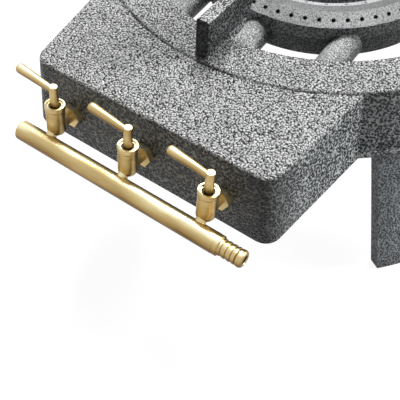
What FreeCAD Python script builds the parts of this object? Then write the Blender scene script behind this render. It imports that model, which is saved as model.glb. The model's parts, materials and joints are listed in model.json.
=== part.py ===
"""Cast iron gas burner: a round stand with a square hood, three burner rings and three lever taps.

The frame is one hollow casting: a flat ring deck with a sloping skirt, the hood that covers the mixing
tubes, and the prongs that carry the pan. Four legs bolt up into bosses behind the skirt. The burner base
is a second casting with three round gas channels, each fed by its own mixing tube, and each channel has
a ported head. A brass manifold runs across the front and feeds three plug cocks, whose jets blow through
the hood's front wall into the tubes.

Millimetres. +Z is up and the floor is z = 0. The taps are on the -Y side. The origin is on the floor,
half way between the manifold's front and the skirt's back.
"""

import FreeCAD, Part
import math
import os
import re

import Sketcher

Vector = FreeCAD.Vector
Rotation = FreeCAD.Rotation
Placement = FreeCAD.Placement

doc = FreeCAD.newDocument("GasBurner")
sheet = doc.addObject("Spreadsheet::Sheet", "Sizes")

sizes = {
    # ring deck and its skirt
    "deck_height": 187.5,
    "deck_outer_radius": 180.0,
    "deck_inner_radius": 148.0,
    "deck_thickness": 6.0,
    "deck_lip_radius": 2.5,
    "skirt_depth": 58.0,
    "skirt_draft": 7.3,
    "skirt_wall": 5.0,
    "rim_bead_radius": 3.2,
    "rim_bead_proud": 1.4,
    # hood over the mixing tubes
    "hood_step": 1.0,
    "hood_reach": 239.2,
    "hood_front_width": 191.6,
    "hood_spread": 6.8,
    "hood_draft": 7.3,
    "hood_wall": 5.0,
    "hood_corner_radius": 12.0,
    "hood_edge_radius": 2.5,
    "hood_root_radius": 120.0,
    # pan prongs
    "prong_count": 4,
    "prong_thickness": 10.0,
    "prong_height": 29.0,
    "prong_heel_radius": 176.0,
    "prong_nose_radius": 107.0,
    "prong_nose_depth": 12.0,
    "prong_edge_radius": 1.6,
    # legs
    "leg_azimuth": 36.0,
    "leg_top_radius": 182.0,
    "leg_draft": 10.8,
    "leg_thickness": 8.8,
    "leg_top_width": 72.0,
    "leg_foot_width": 60.0,
    "leg_side_draft": 8.0,
    "leg_flange_depth": 24.0,
    "leg_flange_thickness": 8.0,
    "leg_boss_radius": 8.5,
    "leg_boss_spacing": 40.0,
    "leg_bolt_radius": 4.0,
    "leg_bolt_length": 32.0,
    "leg_bolt_head_across": 13.0,
    "leg_bolt_head_height": 5.3,
    # burner base, its gas channels and the arms that carry it
    "channel_wall": 3.5,
    "channel_floor_depth": 40.0,
    "channel_seam_depth": 25.0,
    "crown_depth": 6.5,
    "port_band_drop": 7.5,
    "outer_ring_radius": 102.6,
    "outer_ring_width": 23.0,
    "middle_ring_radius": 69.0,
    "middle_ring_width": 22.0,
    "centre_burner_radius": 30.0,
    "outer_port_count": 60,
    "outer_port_azimuth": 1.44,
    "inner_port_count": 36,
    "inner_port_azimuth": -1.99,
    "middle_port_count": 40,
    "centre_port_count": 18,
    "port_radius": 1.3,
    "arm_azimuth": 62.0,
    "arm_width": 18.0,
    "arm_thickness": 8.0,
    "arm_bolt_circle_radius": 161.0,
    "arm_bolt_radius": 4.0,
    "arm_boss_radius": 9.0,
    # mixing tubes
    "tube_spacing": 63.0,
    "tube_radius": 11.0,
    "tube_bore_radius": 8.0,
    "tube_axis_depth": 31.0,
    "tube_mouth_reach": 226.0,
    "tube_bell_radius": 15.0,
    "tube_bell_length": 14.0,
    "tube_strap_reach": 200.0,
    "strap_width": 16.0,
    "strap_thickness": 4.0,
    "strap_bolt_spacing": 172.0,
    "strap_bolt_radius": 3.0,
    "strap_boss_radius": 6.5,
    # taps, in their own frame: z up the barrel, y along the jet, x along the manifold
    "tap_lean": 11.0,
    "tap_reach": 260.6,
    "tap_depth": 30.1,
    "tap_barrel_radius": 6.6,
    "tap_barrel_round": 4.8,
    "tap_barrel_bottom": 5.8,
    "tap_barrel_top": 19.0,
    "tap_collar_radius": 7.0,
    "tap_collar_height": 3.2,
    "tap_rim_radius": 5.7,
    "tap_clearance": 0.05,
    "plug_bottom": 2.2,
    "plug_bottom_radius": 3.3,
    "plug_top": 13.0,
    "plug_top_radius": 4.6,
    "plug_way_radius": 1.3,
    "plug_duct_radius": 1.5,
    "chamber_depth": 3.8,
    "stem_radius": 3.0,
    "stem_height": 34.0,
    "stem_edge_radius": 0.5,
    "lever_height": 30.2,
    "lever_rise": 7.5,
    "lever_length": 30.0,
    "lever_root_radius": 2.15,
    "lever_tip_radius": 3.1,
    "lever_spigot_radius": 1.5,
    "clip_inner_radius": 4.4,
    "clip_groove": 0.5,
    "clip_thickness": 0.9,
    "clip_gap": 70.0,
    "clip_azimuth": 135.0,
    "washer_thickness": 0.8,
    "spring_thickness": 0.6,
    "outlet_radius": 4.0,
    "outlet_bore_radius": 2.2,
    "outlet_length": 26.0,
    "outlet_hole_clearance": 0.4,
    "locknut_across": 14.5,
    "locknut_thickness": 5.0,
    "locknut_seat": 17.8,
    "jet_radius": 5.2,
    "jet_length": 9.0,
    "jet_hole_radius": 0.6,
    "inlet_radius": 3.7,
    "inlet_bore_radius": 1.6,
    # manifold, placed from the taps
    "pipe_offset": 11.1,
    "pipe_drop": 8.9,
    "pipe_radius": 7.1,
    "pipe_bore_radius": 5.0,
    "pipe_left_reach": 86.0,
    "pipe_right_reach": 79.0,
    "pipe_edge_radius": 1.2,
    "end_plug_length": 8.0,
    "barb_length": 21.5,
    "barb_radius": 6.2,
    "barb_root_radius": 5.3,
    "barb_bore_radius": 3.2,
    "barb_spigot_length": 12.0,
    "overrun": 1.0,
}

for row, (alias, value) in enumerate(sizes.items(), start=1):
    sheet.set("A%d" % row, alias)
    sheet.set("B%d" % row, str(value))
    sheet.setAlias("B%d" % row, alias)
doc.recompute()

functions = {"sin", "cos", "tan", "atan", "sqrt", "deg"}


def formula(text):
    """Turn plain size names into references to the sheet's cells."""
    def cell(match):
        word = match.group(0)
        return word if word in functions else "Sizes." + word
    return re.sub(r"[a-z]\w*", cell, text)


def number(text):
    """The present value of a formula."""
    return float(sheet.evalExpression(formula(text)))


def bind(item, **properties):
    for name, text in properties.items():
        item.setExpression(name, formula(text))
    return item


def put(item, x="0", y="0", z="0", axis=None, angle="0"):
    """Place an object, with its position and turn bound to the sheet."""
    if axis is not None:
        item.Placement = Placement(Vector(), Rotation(Vector(*axis), 1))
        item.setExpression("Placement.Rotation.Angle", formula(angle))
    item.setExpression("Placement.Base.x", formula(x))
    item.setExpression("Placement.Base.y", formula(y))
    item.setExpression("Placement.Base.z", formula(z))
    return item


def plane(body, role):
    for feature in body.Origin.OriginFeatures:
        if feature.Role == role:
            return feature


def new_body(name):
    return doc.addObject("PartDesign::Body", name)


def sketch_outline(body, name, role, points, offset=None):
    """A closed outline of straight edges whose corners are bound to the sheet."""
    sketch = body.newObject("Sketcher::SketchObject", name)
    sketch.AttachmentSupport = [(plane(body, role), "")]
    sketch.MapMode = "FlatFace"
    if offset is not None:
        sketch.setExpression("AttachmentOffset.Base.z", formula(offset))
    corners = [Vector(number(x), number(y), 0) for x, y in points]
    count = len(corners)
    for i in range(count):
        sketch.addGeometry(Part.LineSegment(corners[i], corners[(i + 1) % count]), False)
    for i in range(count):
        sketch.addConstraint(Sketcher.Constraint("Coincident", i, 2, (i + 1) % count, 1))
    for i, (x, y) in enumerate(points):
        for kind, text, place in (("DistanceX", x, corners[i].x), ("DistanceY", y, corners[i].y)):
            index = sketch.addConstraint(Sketcher.Constraint(kind, -1, 1, i, 1, place))
            sketch.setExpression("Constraints[%d]" % index, formula(text))
    return sketch


def sketch_circle(body, name, role, x, y, radius, offset=None):
    sketch = body.newObject("Sketcher::SketchObject", name)
    sketch.AttachmentSupport = [(plane(body, role), "")]
    sketch.MapMode = "FlatFace"
    if offset is not None:
        sketch.setExpression("AttachmentOffset.Base.z", formula(offset))
    centre = Vector(number(x), number(y), 0)
    sketch.addGeometry(Part.Circle(centre, Vector(0, 0, 1), number(radius)), False)
    for kind, text, place in (("DistanceX", x, centre.x), ("DistanceY", y, centre.y)):
        index = sketch.addConstraint(Sketcher.Constraint(kind, -1, 1, 0, 3, place))
        sketch.setExpression("Constraints[%d]" % index, formula(text))
    index = sketch.addConstraint(Sketcher.Constraint("Radius", 0, number(radius)))
    sketch.setExpression("Constraints[%d]" % index, formula(radius))
    return sketch


def revolve(name, points, angle=None):
    """A body turned about its own Z axis from an outline of (radius, height) corners."""
    body = new_body(name)
    sketch = sketch_outline(body, name + "_section", "XZ_Plane", points)
    turn = body.newObject("PartDesign::Revolution", name + "_turn")
    turn.Profile = sketch
    turn.ReferenceAxis = (sketch, ["V_Axis"])
    turn.Angle = 360.0
    if angle is not None:
        turn.Midplane = True
        turn.setExpression("Angle", formula(angle))
    doc.recompute()
    return body


def pad(name, role, points, length, offset=None, taper=None, reverse=False, middle=False):
    """A body padded from an outline on one of its own planes."""
    body = new_body(name)
    sketch = sketch_outline(body, name + "_section", role, points, offset)
    feature = body.newObject("PartDesign::Pad", name + "_pad")
    feature.Profile = sketch
    feature.setExpression("Length", formula(length))
    feature.Reversed = reverse
    feature.Midplane = middle
    if taper is not None:
        feature.setExpression("TaperAngle", formula(taper))
    doc.recompute()
    return body


def round_edges(body, name, radius, wanted):
    """Fillet the edges of a body's tip that the test picks out."""
    tip = body.Tip
    names = ["Edge%d" % (i + 1) for i, edge in enumerate(tip.Shape.Edges) if wanted(edge)]
    feature = body.newObject("PartDesign::Fillet", name)
    feature.Base = (tip, names)
    feature.setExpression("Radius", formula(radius))
    doc.recompute()
    return body


def cylinder(name, radius, height, **place):
    item = doc.addObject("Part::Cylinder", name)
    bind(item, Radius=radius, Height=height)
    return put(item, **place)


def cone(name, radius1, radius2, height, **place):
    item = doc.addObject("Part::Cone", name)
    bind(item, Radius1=radius1, Radius2=radius2, Height=height)
    return put(item, **place)


def box(name, length, width, height, **place):
    item = doc.addObject("Part::Box", name)
    bind(item, Length=length, Width=width, Height=height)
    return put(item, **place)


def fuse(name, *shapes):
    item = doc.addObject("Part::MultiFuse", name)
    item.Shapes = list(shapes)
    item.Refine = True
    return item


def cut(name, base, *tools):
    item = doc.addObject("Part::Cut", name)
    item.Base = base
    item.Tool = tools[0] if len(tools) == 1 else fuse(name + "_tools", *tools)
    item.Refine = True
    return item


def common(name, first, second):
    item = doc.addObject("Part::Common", name)
    item.Base = first
    item.Tool = second
    return item


def turned(name, source, angle, x="0", y="0", z="0"):
    """A copy of an object turned about Z, then moved, that follows its source."""
    item = doc.addObject("Part::Refine", name)
    item.Source = source
    return put(item, x, y, z, axis=(0, 0, 1), angle=angle)


nodes = {}
pipe_y = "-(tap_reach + pipe_offset * cos(tap_lean) + pipe_drop * sin(tap_lean))"
pipe_z = "deck_height - tap_depth + pipe_offset * sin(tap_lean) - pipe_drop * cos(tap_lean)"
skirt_flare = "skirt_depth * tan(skirt_draft)"
skirt_reach = "deck_outer_radius + " + skirt_flare + " + rim_bead_proud"
ring_y = "(-(%s) + pipe_radius - (%s)) / 2" % (pipe_y, skirt_reach)


def finish(item, label, x="0", y="0", z="0", axis=None, angle="0"):
    """Move a piece from the ring's axis to the part's frame and list it as a node."""
    item.Label = label
    put(item, x, "%s + (%s)" % (ring_y, y), z, axis, angle)
    nodes[label] = item
    return item


# frame casting

deck = "deck_height"
rim = "(deck_height - skirt_depth)"
ring_block = revolve("RingBlock", [
    ("0", rim),
    ("deck_outer_radius + " + skirt_flare, rim),
    ("deck_outer_radius", deck),
    ("0", deck),
])
round_edges(ring_block, "RingEdge", "deck_lip_radius",
            lambda edge: abs(edge.BoundBox.ZMin - number(deck)) < number("deck_lip_radius") / 10
            and edge.BoundBox.ZLength < number("deck_lip_radius") / 10 and len(edge.Vertexes) == 1)
rim_bead = doc.addObject("Part::Torus", "RimBead")
bind(rim_bead, Radius1="deck_outer_radius + %s - rim_bead_radius + rim_bead_proud" % skirt_flare,
     Radius2="rim_bead_radius")
put(rim_bead, z=rim + " + rim_bead_radius")
ring_hollow = revolve("RingHollow", [
    ("0", rim + " - overrun"),
    ("deck_outer_radius + %s + overrun * tan(skirt_draft) - skirt_wall" % skirt_flare,
     rim + " - overrun"),
    ("deck_outer_radius + deck_thickness * tan(skirt_draft) - skirt_wall", deck + " - deck_thickness"),
    ("0", deck + " - deck_thickness"),
])
deck_hole = revolve("DeckHole", [
    ("0", rim),
    ("deck_inner_radius", rim),
    ("deck_inner_radius", deck + " - deck_lip_radius"),
    ("deck_inner_radius + deck_lip_radius", deck),
    ("deck_inner_radius + deck_lip_radius", deck + " + overrun"),
    ("0", deck + " + overrun"),
])

hood_top = "deck_height - hood_step"
hood_depth = "skirt_depth - hood_step"
spread = "(hood_reach - hood_root_radius) * tan(hood_spread)"


def hood_outline(inset):
    """The hood seen from above, at its top, drawn in by a wall."""
    half = "(hood_front_width / 2 - %s)" % inset
    back = "(hood_front_width / 2 + %s - %s)" % (spread, inset)
    front = "-(hood_reach - %s)" % inset
    return [(half, front), (back, "-hood_root_radius"), ("-" + back, "-hood_root_radius"), ("-" + half, front)]


def upright(edge):
    """A hood corner: an edge that climbs, at the front."""
    return edge.BoundBox.ZLength > number("skirt_depth") / 2 and edge.BoundBox.YMax < -number("hood_reach") * 0.9


hood_block = pad("HoodBlock", "XY_Plane", hood_outline("0"), hood_depth, hood_top, "hood_draft", True)
round_edges(hood_block, "HoodCorners", "hood_corner_radius", upright)
round_edges(hood_block, "HoodEdge", "hood_edge_radius",
            lambda edge: edge.BoundBox.ZMin > number(hood_top) - number("hood_step") / 2
            and edge.BoundBox.YMin < -number("hood_root_radius") - number("hood_wall"))
hood_hollow = pad("HoodHollow", "XY_Plane", hood_outline("hood_wall"),
                  hood_depth + " - hood_wall + overrun", hood_top + " - hood_wall", "hood_draft", True)
round_edges(hood_hollow, "HoodHollowCorners", "hood_corner_radius - hood_wall", upright)

prong_top = "deck_height + prong_height"
prong = pad("ProngBody", "XZ_Plane", [
    ("prong_heel_radius", "deck_height - deck_thickness / 2"),
    ("prong_heel_radius - prong_height * tan(skirt_draft)", prong_top),
    ("prong_nose_radius + prong_nose_depth / 3", prong_top + " - prong_nose_depth / 4"),
    ("prong_nose_radius", prong_top + " - prong_nose_depth / 2"),
    ("prong_nose_radius + prong_nose_depth / 6", prong_top + " - prong_nose_depth * 1.2"),
    ("prong_nose_radius + prong_nose_depth", "deck_height + prong_nose_depth * 1.1"),
    ("deck_inner_radius - prong_thickness * 1.7", "deck_height - deck_thickness * 0.6"),
    ("deck_inner_radius", "deck_height - deck_thickness"),
    ("deck_inner_radius + deck_thickness", "deck_height - deck_thickness"),
], "prong_thickness", middle=True)
round_edges(prong, "ProngEdges", "prong_edge_radius",
            lambda edge: edge.BoundBox.YLength < number("prong_edge_radius") / 10
            and edge.BoundBox.ZMin > number("deck_height") and edge.BoundBox.ZMax > number(prong_top) - number("prong_nose_depth"))
prongs = []
for i in range(int(number("prong_count"))):
    prongs.append(turned("Prong%d" % (i + 1), prong, "-90 + 360 * %d / prong_count" % i))

legs = {
    "front_right": "-leg_azimuth",
    "front_left": "180 + leg_azimuth",
    "rear_right": "leg_azimuth",
    "rear_left": "180 - leg_azimuth",
}
boss_radius_at = "(leg_top_radius - leg_thickness - leg_bolt_head_across / sqrt(3) - overrun / 2)"
boss_height = "skirt_depth - deck_thickness / 2"


def around(azimuth, radius, side="0"):
    """The x and y of a place seen along an azimuth from the ring's axis."""
    x = "(%s) * cos(%s) - (%s) * sin(%s)" % (radius, azimuth, side, azimuth)
    y = "(%s) * sin(%s) + (%s) * cos(%s)" % (radius, azimuth, side, azimuth)
    return x, y


bosses = []
drills = []
leg_bolt_places = []
for name, azimuth in legs.items():
    for side, sign in (("a", ""), ("b", "-")):
        x, y = around(azimuth, boss_radius_at, sign + "leg_boss_spacing / 2")
        tag = "%s_%s" % (name, side)
        leg_bolt_places.append((tag, x, y))
        bosses.append(cylinder("LegBoss_" + tag, "leg_boss_radius", boss_height, x=x, y=y, z=rim))
        drills.append(cylinder("LegThread_" + tag, "leg_bolt_radius",
                               "leg_bolt_length - leg_flange_thickness + overrun", x=x, y=y,
                               z=rim + " - overrun"))

arms = {"right": "arm_azimuth", "left": "180 - arm_azimuth"}
arm_top = "deck_height - channel_floor_depth + channel_wall / 2"
for name, azimuth in arms.items():
    x, y = around(azimuth, "arm_bolt_circle_radius")
    bosses.append(cylinder("ArmBoss_" + name, "arm_boss_radius",
                           "channel_floor_depth - channel_wall / 2 - deck_thickness / 2", x=x, y=y, z=arm_top))
    drills.append(cylinder("ArmThread_" + name, "arm_bolt_radius", "arm_boss_radius * 2 + overrun",
                           x=x, y=y, z=arm_top + " - overrun"))

strap_top = "deck_height - tube_axis_depth - tube_radius"
for name, sign in (("right", ""), ("left", "-")):
    x = sign + "strap_bolt_spacing / 2"
    bosses.append(cylinder("StrapBoss_" + name, "strap_boss_radius",
                           "tube_axis_depth + tube_radius - hood_wall / 2 - hood_step", x=x,
                           y="-tube_strap_reach", z=strap_top))
    drills.append(cylinder("StrapThread_" + name, "strap_bolt_radius", "strap_boss_radius * 3 + overrun",
                           x=x, y="-tube_strap_reach", z=strap_top + " - overrun"))

taps = {"left": "-tube_spacing", "middle": "0", "right": "tube_spacing"}
tap_z = "deck_height - tap_depth"
for name, x in taps.items():
    hole = cylinder("TapHole_" + name, "outlet_radius + outlet_hole_clearance", "outlet_length",
                    axis=(1, 0, 0), angle="-90")
    seat = cylinder("TapSeat_" + name, "locknut_across * 0.62", "locknut_thickness", y="locknut_seat - locknut_thickness",
                    axis=(1, 0, 0), angle="-90")
    tools = fuse("TapDrills_" + name, hole, seat)
    drills.append(put(tools, x, "-tap_reach", tap_z, axis=(1, 0, 0), angle="-tap_lean"))

shell = cut("FrameShell", fuse("FrameBlock", ring_block, rim_bead, hood_block),
            ring_hollow, hood_hollow, deck_hole)
frame = cut("FrameCasting", fuse("FrameSolid", shell, *(prongs + bosses)), *drills)
finish(frame, "frame_casting")

# legs and their bolts

leg_slope = "tan(leg_draft)"
leg_shell = revolve("LegShell", [
    ("leg_top_radius", rim),
    ("leg_top_radius + (deck_height - skirt_depth) * " + leg_slope, "0"),
    ("leg_top_radius + (deck_height - skirt_depth) * %s - leg_thickness / cos(leg_draft)" % leg_slope, "0"),
    ("leg_top_radius + leg_flange_thickness * %s - leg_thickness / cos(leg_draft)" % leg_slope,
     rim + " - leg_flange_thickness"),
    ("leg_top_radius - leg_flange_depth", rim + " - leg_flange_thickness"),
    ("leg_top_radius - leg_flange_depth", rim),
], "60")
leg_reach = "leg_top_radius + deck_height * %s" % leg_slope
leg_side = "((leg_top_width - leg_foot_width) / 2 / (deck_height - skirt_depth))"
leg_prism = pad("LegPrism", "YZ_Plane", [
    ("leg_foot_width / 2 + leg_flange_depth * tan(leg_side_draft) - leg_thickness * " + leg_side,
     "-leg_thickness"),
    ("leg_top_width / 2 + leg_flange_depth * tan(leg_side_draft) + leg_thickness * " + leg_side,
     rim + " + leg_thickness"),
    ("-(leg_top_width / 2 + leg_flange_depth * tan(leg_side_draft) + leg_thickness * %s)" % leg_side,
     rim + " + leg_thickness"),
    ("-(leg_foot_width / 2 + leg_flange_depth * tan(leg_side_draft) - leg_thickness * %s)" % leg_side,
     "-leg_thickness"),
], "%s - leg_top_radius + leg_flange_depth + leg_thickness" % leg_reach,
    "leg_top_radius - leg_flange_depth", "-leg_side_draft")
leg_blank = common("LegBlank", leg_shell, leg_prism)
leg_holes = []
for side, sign in (("a", ""), ("b", "-")):
    leg_holes.append(cylinder("LegHole_" + side, "leg_bolt_radius", "leg_flange_thickness + overrun * 2",
                              x=boss_radius_at, y=sign + "leg_boss_spacing / 2",
                              z=rim + " - leg_flange_thickness - overrun"))
leg = cut("LegCasting", leg_blank, *leg_holes)
for name, azimuth in legs.items():
    finish(turned("Leg_" + name, leg, azimuth), "leg_" + name, axis=(0, 0, 1), angle=azimuth)


def hex_prism(name, across, height, **place):
    item = doc.addObject("Part::Prism", name)
    item.Polygon = 6
    bind(item, Circumradius="%s / sqrt(3)" % across, Height=height)
    return put(item, **place)


def bolt(name, radius, length, across, head):
    """A hex bolt that points up, with the underside of its head at z = 0."""
    shank = cylinder(name + "Shank", radius, length)
    cap = hex_prism(name + "Head", across, head, z="-(%s)" % head)
    return fuse(name, shank, cap)


leg_bolt = bolt("LegBolt", "leg_bolt_radius", "leg_bolt_length", "leg_bolt_head_across", "leg_bolt_head_height")
for tag, x, y in leg_bolt_places:
    item = turned("LegBolt_" + tag, leg_bolt, "0")
    finish(item, "leg_bolt_" + tag, x, y, rim + " - leg_flange_thickness")

# burner base

floor_z = "(deck_height - channel_floor_depth)"
seam_z = "(deck_height - channel_seam_depth)"


def trough(name, outer, width):
    """One ring-shaped gas channel, open at the top."""
    return revolve(name, [
        (outer, floor_z),
        (outer, seam_z),
        (outer + " - channel_wall", seam_z),
        (outer + " - channel_wall", floor_z + " + channel_wall"),
        ("%s - %s + channel_wall" % (outer, width), floor_z + " + channel_wall"),
        ("%s - %s + channel_wall" % (outer, width), seam_z),
        ("%s - %s" % (outer, width), seam_z),
        ("%s - %s" % (outer, width), floor_z),
    ])


outer_trough = trough("OuterTrough", "outer_ring_radius", "outer_ring_width")
middle_trough = trough("MiddleTrough", "middle_ring_radius", "middle_ring_width")
centre_cup = revolve("CentreCup", [
    ("0", floor_z),
    ("centre_burner_radius", floor_z),
    ("centre_burner_radius", seam_z),
    ("centre_burner_radius - channel_wall", seam_z),
    ("centre_burner_radius - channel_wall", floor_z + " + channel_wall"),
    ("0", floor_z + " + channel_wall"),
])
tube_z = "deck_height - tube_axis_depth"
along_y = dict(axis=(1, 0, 0), angle="-90")


def tube_run(name, x, radius, start, end):
    return cylinder(name, radius, "(%s) - (%s)" % (end, start), x=x, y=start, z=tube_z, **along_y)


mouth_y = "-tube_mouth_reach"
outer_entry = "-sqrt((outer_ring_radius - channel_wall) ^ 2 - tube_spacing ^ 2)"
elbow_y = "-tube_spacing"
centre_entry = "-(centre_burner_radius - channel_wall)"


def tube(name, x, end, radius, mouth):
    """A mixing tube's outside or bore: a bell mouth, then a straight run."""
    bell = cone(name + "Bell", mouth, radius, "tube_bell_length", x=x, y=mouth_y, z=tube_z, **along_y)
    return [bell, tube_run(name + "Run", x, radius, mouth_y, end)]


def elbow(name, radius, length):
    """The turn of the left tube towards the middle ring, seen from above on the diagonal."""
    ball = doc.addObject("Part::Sphere", name + "Ball")
    bind(ball, Radius=radius)
    put(ball, "-tube_spacing", elbow_y, tube_z)
    run = cylinder(name + "Run", radius, length, axis=(1, -1, 0), angle="-90")
    put(run, "-tube_spacing", elbow_y, tube_z, axis=(-1, 1, 0), angle="90")
    return [ball, run]


elbow_length = "(tube_spacing * sqrt(2) - middle_ring_radius + channel_wall)"
tube_outsides = (tube("RightTube", "tube_spacing", outer_entry, "tube_radius", "tube_bell_radius")
                 + tube("MiddleTube", "0", centre_entry, "tube_radius", "tube_bell_radius")
                 + tube("LeftTube", "-tube_spacing", elbow_y, "tube_radius", "tube_bell_radius")
                 + elbow("Elbow", "tube_radius", elbow_length + " - channel_wall / 2"))
bell_bore = "tube_bell_radius - (tube_radius - tube_bore_radius)"
tube_bores = (tube("RightBore", "tube_spacing", outer_entry + " + channel_wall", "tube_bore_radius", bell_bore)
              + tube("MiddleBore", "0", centre_entry + " + channel_wall", "tube_bore_radius", bell_bore)
              + tube("LeftBore", "-tube_spacing", elbow_y, "tube_bore_radius", bell_bore)
              + elbow("ElbowBore", "tube_bore_radius", elbow_length + " + channel_wall"))

arm_items = []
arm_holes = []
arm_length = "arm_bolt_circle_radius + arm_boss_radius"
for name, azimuth in arms.items():
    x, y = around(azimuth, "0", "-arm_width / 2")
    arm_items.append(box("Arm_" + name, arm_length, "arm_width", "arm_thickness", x=x, y=y,
                         z=arm_top + " - arm_thickness", axis=(0, 0, 1), angle=azimuth))
    x, y = around(azimuth, "arm_bolt_circle_radius")
    arm_holes.append(cylinder("ArmHole_" + name, "arm_bolt_radius", "arm_thickness + overrun * 2", x=x, y=y,
                              z=arm_top + " - arm_thickness - overrun"))

right_end = cylinder("RightTubeEnd", "outer_ring_radius - channel_wall", "channel_floor_depth",
                     z=floor_z + " + channel_wall")
left_end = cylinder("LeftTubeEnd", "middle_ring_radius - channel_wall", "channel_floor_depth",
                    z=floor_z + " + channel_wall")
right_tube = cut("RightTubeTrimmed", fuse("RightTubeOutside", *tube_outsides[0:2]), right_end)
inner_tubes = fuse("InnerTubes", *tube_outsides[2:4])
left_tube = cut("LeftTubeTrimmed", fuse("LeftTubeOutside", *tube_outsides[4:]), left_end)
base = cut("BurnerBase", fuse("BurnerBaseSolid", outer_trough, middle_trough, centre_cup, right_tube,
                              inner_tubes, left_tube, *arm_items), *(tube_bores + arm_holes))
finish(base, "burner_base")

arm_bolt = bolt("ArmBolt", "arm_bolt_radius", "arm_thickness + arm_boss_radius * 1.8", "leg_bolt_head_across",
                "leg_bolt_head_height")
for name, azimuth in arms.items():
    x, y = around(azimuth, "arm_bolt_circle_radius")
    finish(turned("ArmBolt_" + name, arm_bolt, "0"), "burner_bolt_" + name, x, y, arm_top + " - arm_thickness")

# strap that carries the tubes' mouths

strap = box("StrapBar", "strap_bolt_spacing + strap_width", "strap_width", "strap_thickness",
            x="-(strap_bolt_spacing + strap_width) / 2", y="-tube_strap_reach - strap_width / 2",
            z=strap_top + " - strap_thickness")
strap_holes = []
for name, sign in (("right", ""), ("left", "-")):
    strap_holes.append(cylinder("StrapHole_" + name, "strap_bolt_radius", "strap_thickness + overrun * 2",
                                x=sign + "strap_bolt_spacing / 2", y="-tube_strap_reach",
                                z=strap_top + " - strap_thickness - overrun"))
finish(cut("Strap", strap, *strap_holes), "tube_strap")
strap_bolt = bolt("StrapBolt", "strap_bolt_radius", "strap_thickness + strap_boss_radius * 2.5",
                  "strap_bolt_radius * 3.3", "strap_bolt_radius * 1.3")
for name, sign in (("right", ""), ("left", "-")):
    finish(turned("StrapBolt_" + name, strap_bolt, "0"), "strap_bolt_" + name,
           sign + "strap_bolt_spacing / 2", "-tube_strap_reach", strap_top + " - strap_thickness")

# ported heads

crown_z = "(deck_height - crown_depth)"


def ring_head(name, outer, width, ports):
    """A ring head: port bands fall away from the crown on both sides, over an open channel below."""
    inner = "(%s - %s)" % (outer, width)
    band_z = crown_z + " - port_band_drop"
    body = revolve(name, [
        (outer, seam_z),
        (outer, band_z),
        (outer + " - port_band_drop * 1.2", crown_z),
        (inner + " + port_band_drop", crown_z),
        (inner, crown_z + " - port_band_drop / 2"),
        (inner, seam_z),
        (inner + " + channel_wall", seam_z),
        (inner + " + channel_wall", crown_z + " - port_band_drop / 2 - channel_wall"),
        (inner + " + port_band_drop", crown_z + " - channel_wall"),
        (outer + " - port_band_drop * 1.4", crown_z + " - channel_wall"),
        (outer + " - channel_wall", band_z + " - channel_wall / 2"),
        (outer + " - channel_wall", seam_z),
    ])
    for tag, *port in ports:
        drill_ports(body, name + tag, *port)
    return body


def drill_ports(body, name, count, radius, height, tilt, azimuth):
    """A ring of holes square to a port band; tilt is how far the band falls away, azimuth the first hole."""
    first = math.radians(number(azimuth))
    sketch = body.newObject("Sketcher::SketchObject", name + "_hole")
    sketch.AttachmentSupport = [(plane(body, "XY_Plane"), "")]
    sketch.MapMode = "FlatFace"
    sketch.AttachmentOffset = Placement(Vector(), Rotation(Vector(-math.sin(first), math.cos(first), 0), 1))
    sketch.setExpression("AttachmentOffset.Base.x", formula("(%s) * cos(%s)" % (radius, azimuth)))
    sketch.setExpression("AttachmentOffset.Base.y", formula("(%s) * sin(%s)" % (radius, azimuth)))
    sketch.setExpression("AttachmentOffset.Base.z", formula(height))
    sketch.setExpression("AttachmentOffset.Rotation.Angle", formula(tilt))
    sketch.addGeometry(Part.Circle(Vector(), Vector(0, 0, 1), number("port_radius")), False)
    sketch.addConstraint(Sketcher.Constraint("Coincident", 0, 3, -1, 1))
    index = sketch.addConstraint(Sketcher.Constraint("Radius", 0, number("port_radius")))
    sketch.setExpression("Constraints[%d]" % index, formula("port_radius"))
    pocket = body.newObject("PartDesign::Pocket", name + "_drill")
    pocket.Profile = sketch
    pocket.Midplane = True
    pocket.setExpression("Length", formula("channel_wall * 3"))
    doc.recompute()
    before = body.Shape.Volume
    pattern = body.newObject("PartDesign::PolarPattern", name + "_ring")
    pattern.Originals = [pocket]
    pattern.Axis = (plane(body, "Z_Axis"), [""])
    pattern.Angle = 360.0
    pattern.setExpression("Occurrences", formula(count))
    body.Tip = pattern
    doc.recompute()
    print("%s: drilled %.1f mm3 more" % (name, before - body.Shape.Volume))


def tube_arches(name, *runs):
    """The outsides of the tubes that pass under a head, which its walls are notched for."""
    shapes = []
    for run in runs:
        if run == "elbow":
            shapes += elbow(name + run, "tube_radius", elbow_length)
        else:
            end = {"right": outer_entry, "middle": centre_entry, "left": elbow_y}[run]
            shapes.append(tube_run(name + run, taps[run], "tube_radius", "-outer_ring_radius - tube_radius", end))
    return shapes


outer_slope = "atan(1 / 1.2)"
inner_slope = "-atan(0.5)"
outer_head = ring_head("OuterHead", "outer_ring_radius", "outer_ring_width", [
    ("Outer", "outer_port_count", "outer_ring_radius - port_band_drop * 0.58",
     crown_z + " - port_band_drop * 0.52", outer_slope, "outer_port_azimuth"),
    ("Inner", "inner_port_count", "outer_ring_radius - outer_ring_width + port_band_drop * 0.5",
     crown_z + " - port_band_drop * 0.25", inner_slope, "inner_port_azimuth"),
])
finish(cut("OuterHeadNotched", outer_head, *tube_arches("OuterArch", "right", "middle", "left", "elbow")),
       "outer_burner_head")
middle_head = ring_head("MiddleHead", "middle_ring_radius", "middle_ring_width", [
    ("Outer", "middle_port_count", "middle_ring_radius - port_band_drop * 0.58",
     crown_z + " - port_band_drop * 0.52", outer_slope, "0"),
])
finish(cut("MiddleHeadNotched", middle_head, *tube_arches("MiddleArch", "middle", "left", "elbow")),
       "middle_burner_head")
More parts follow.
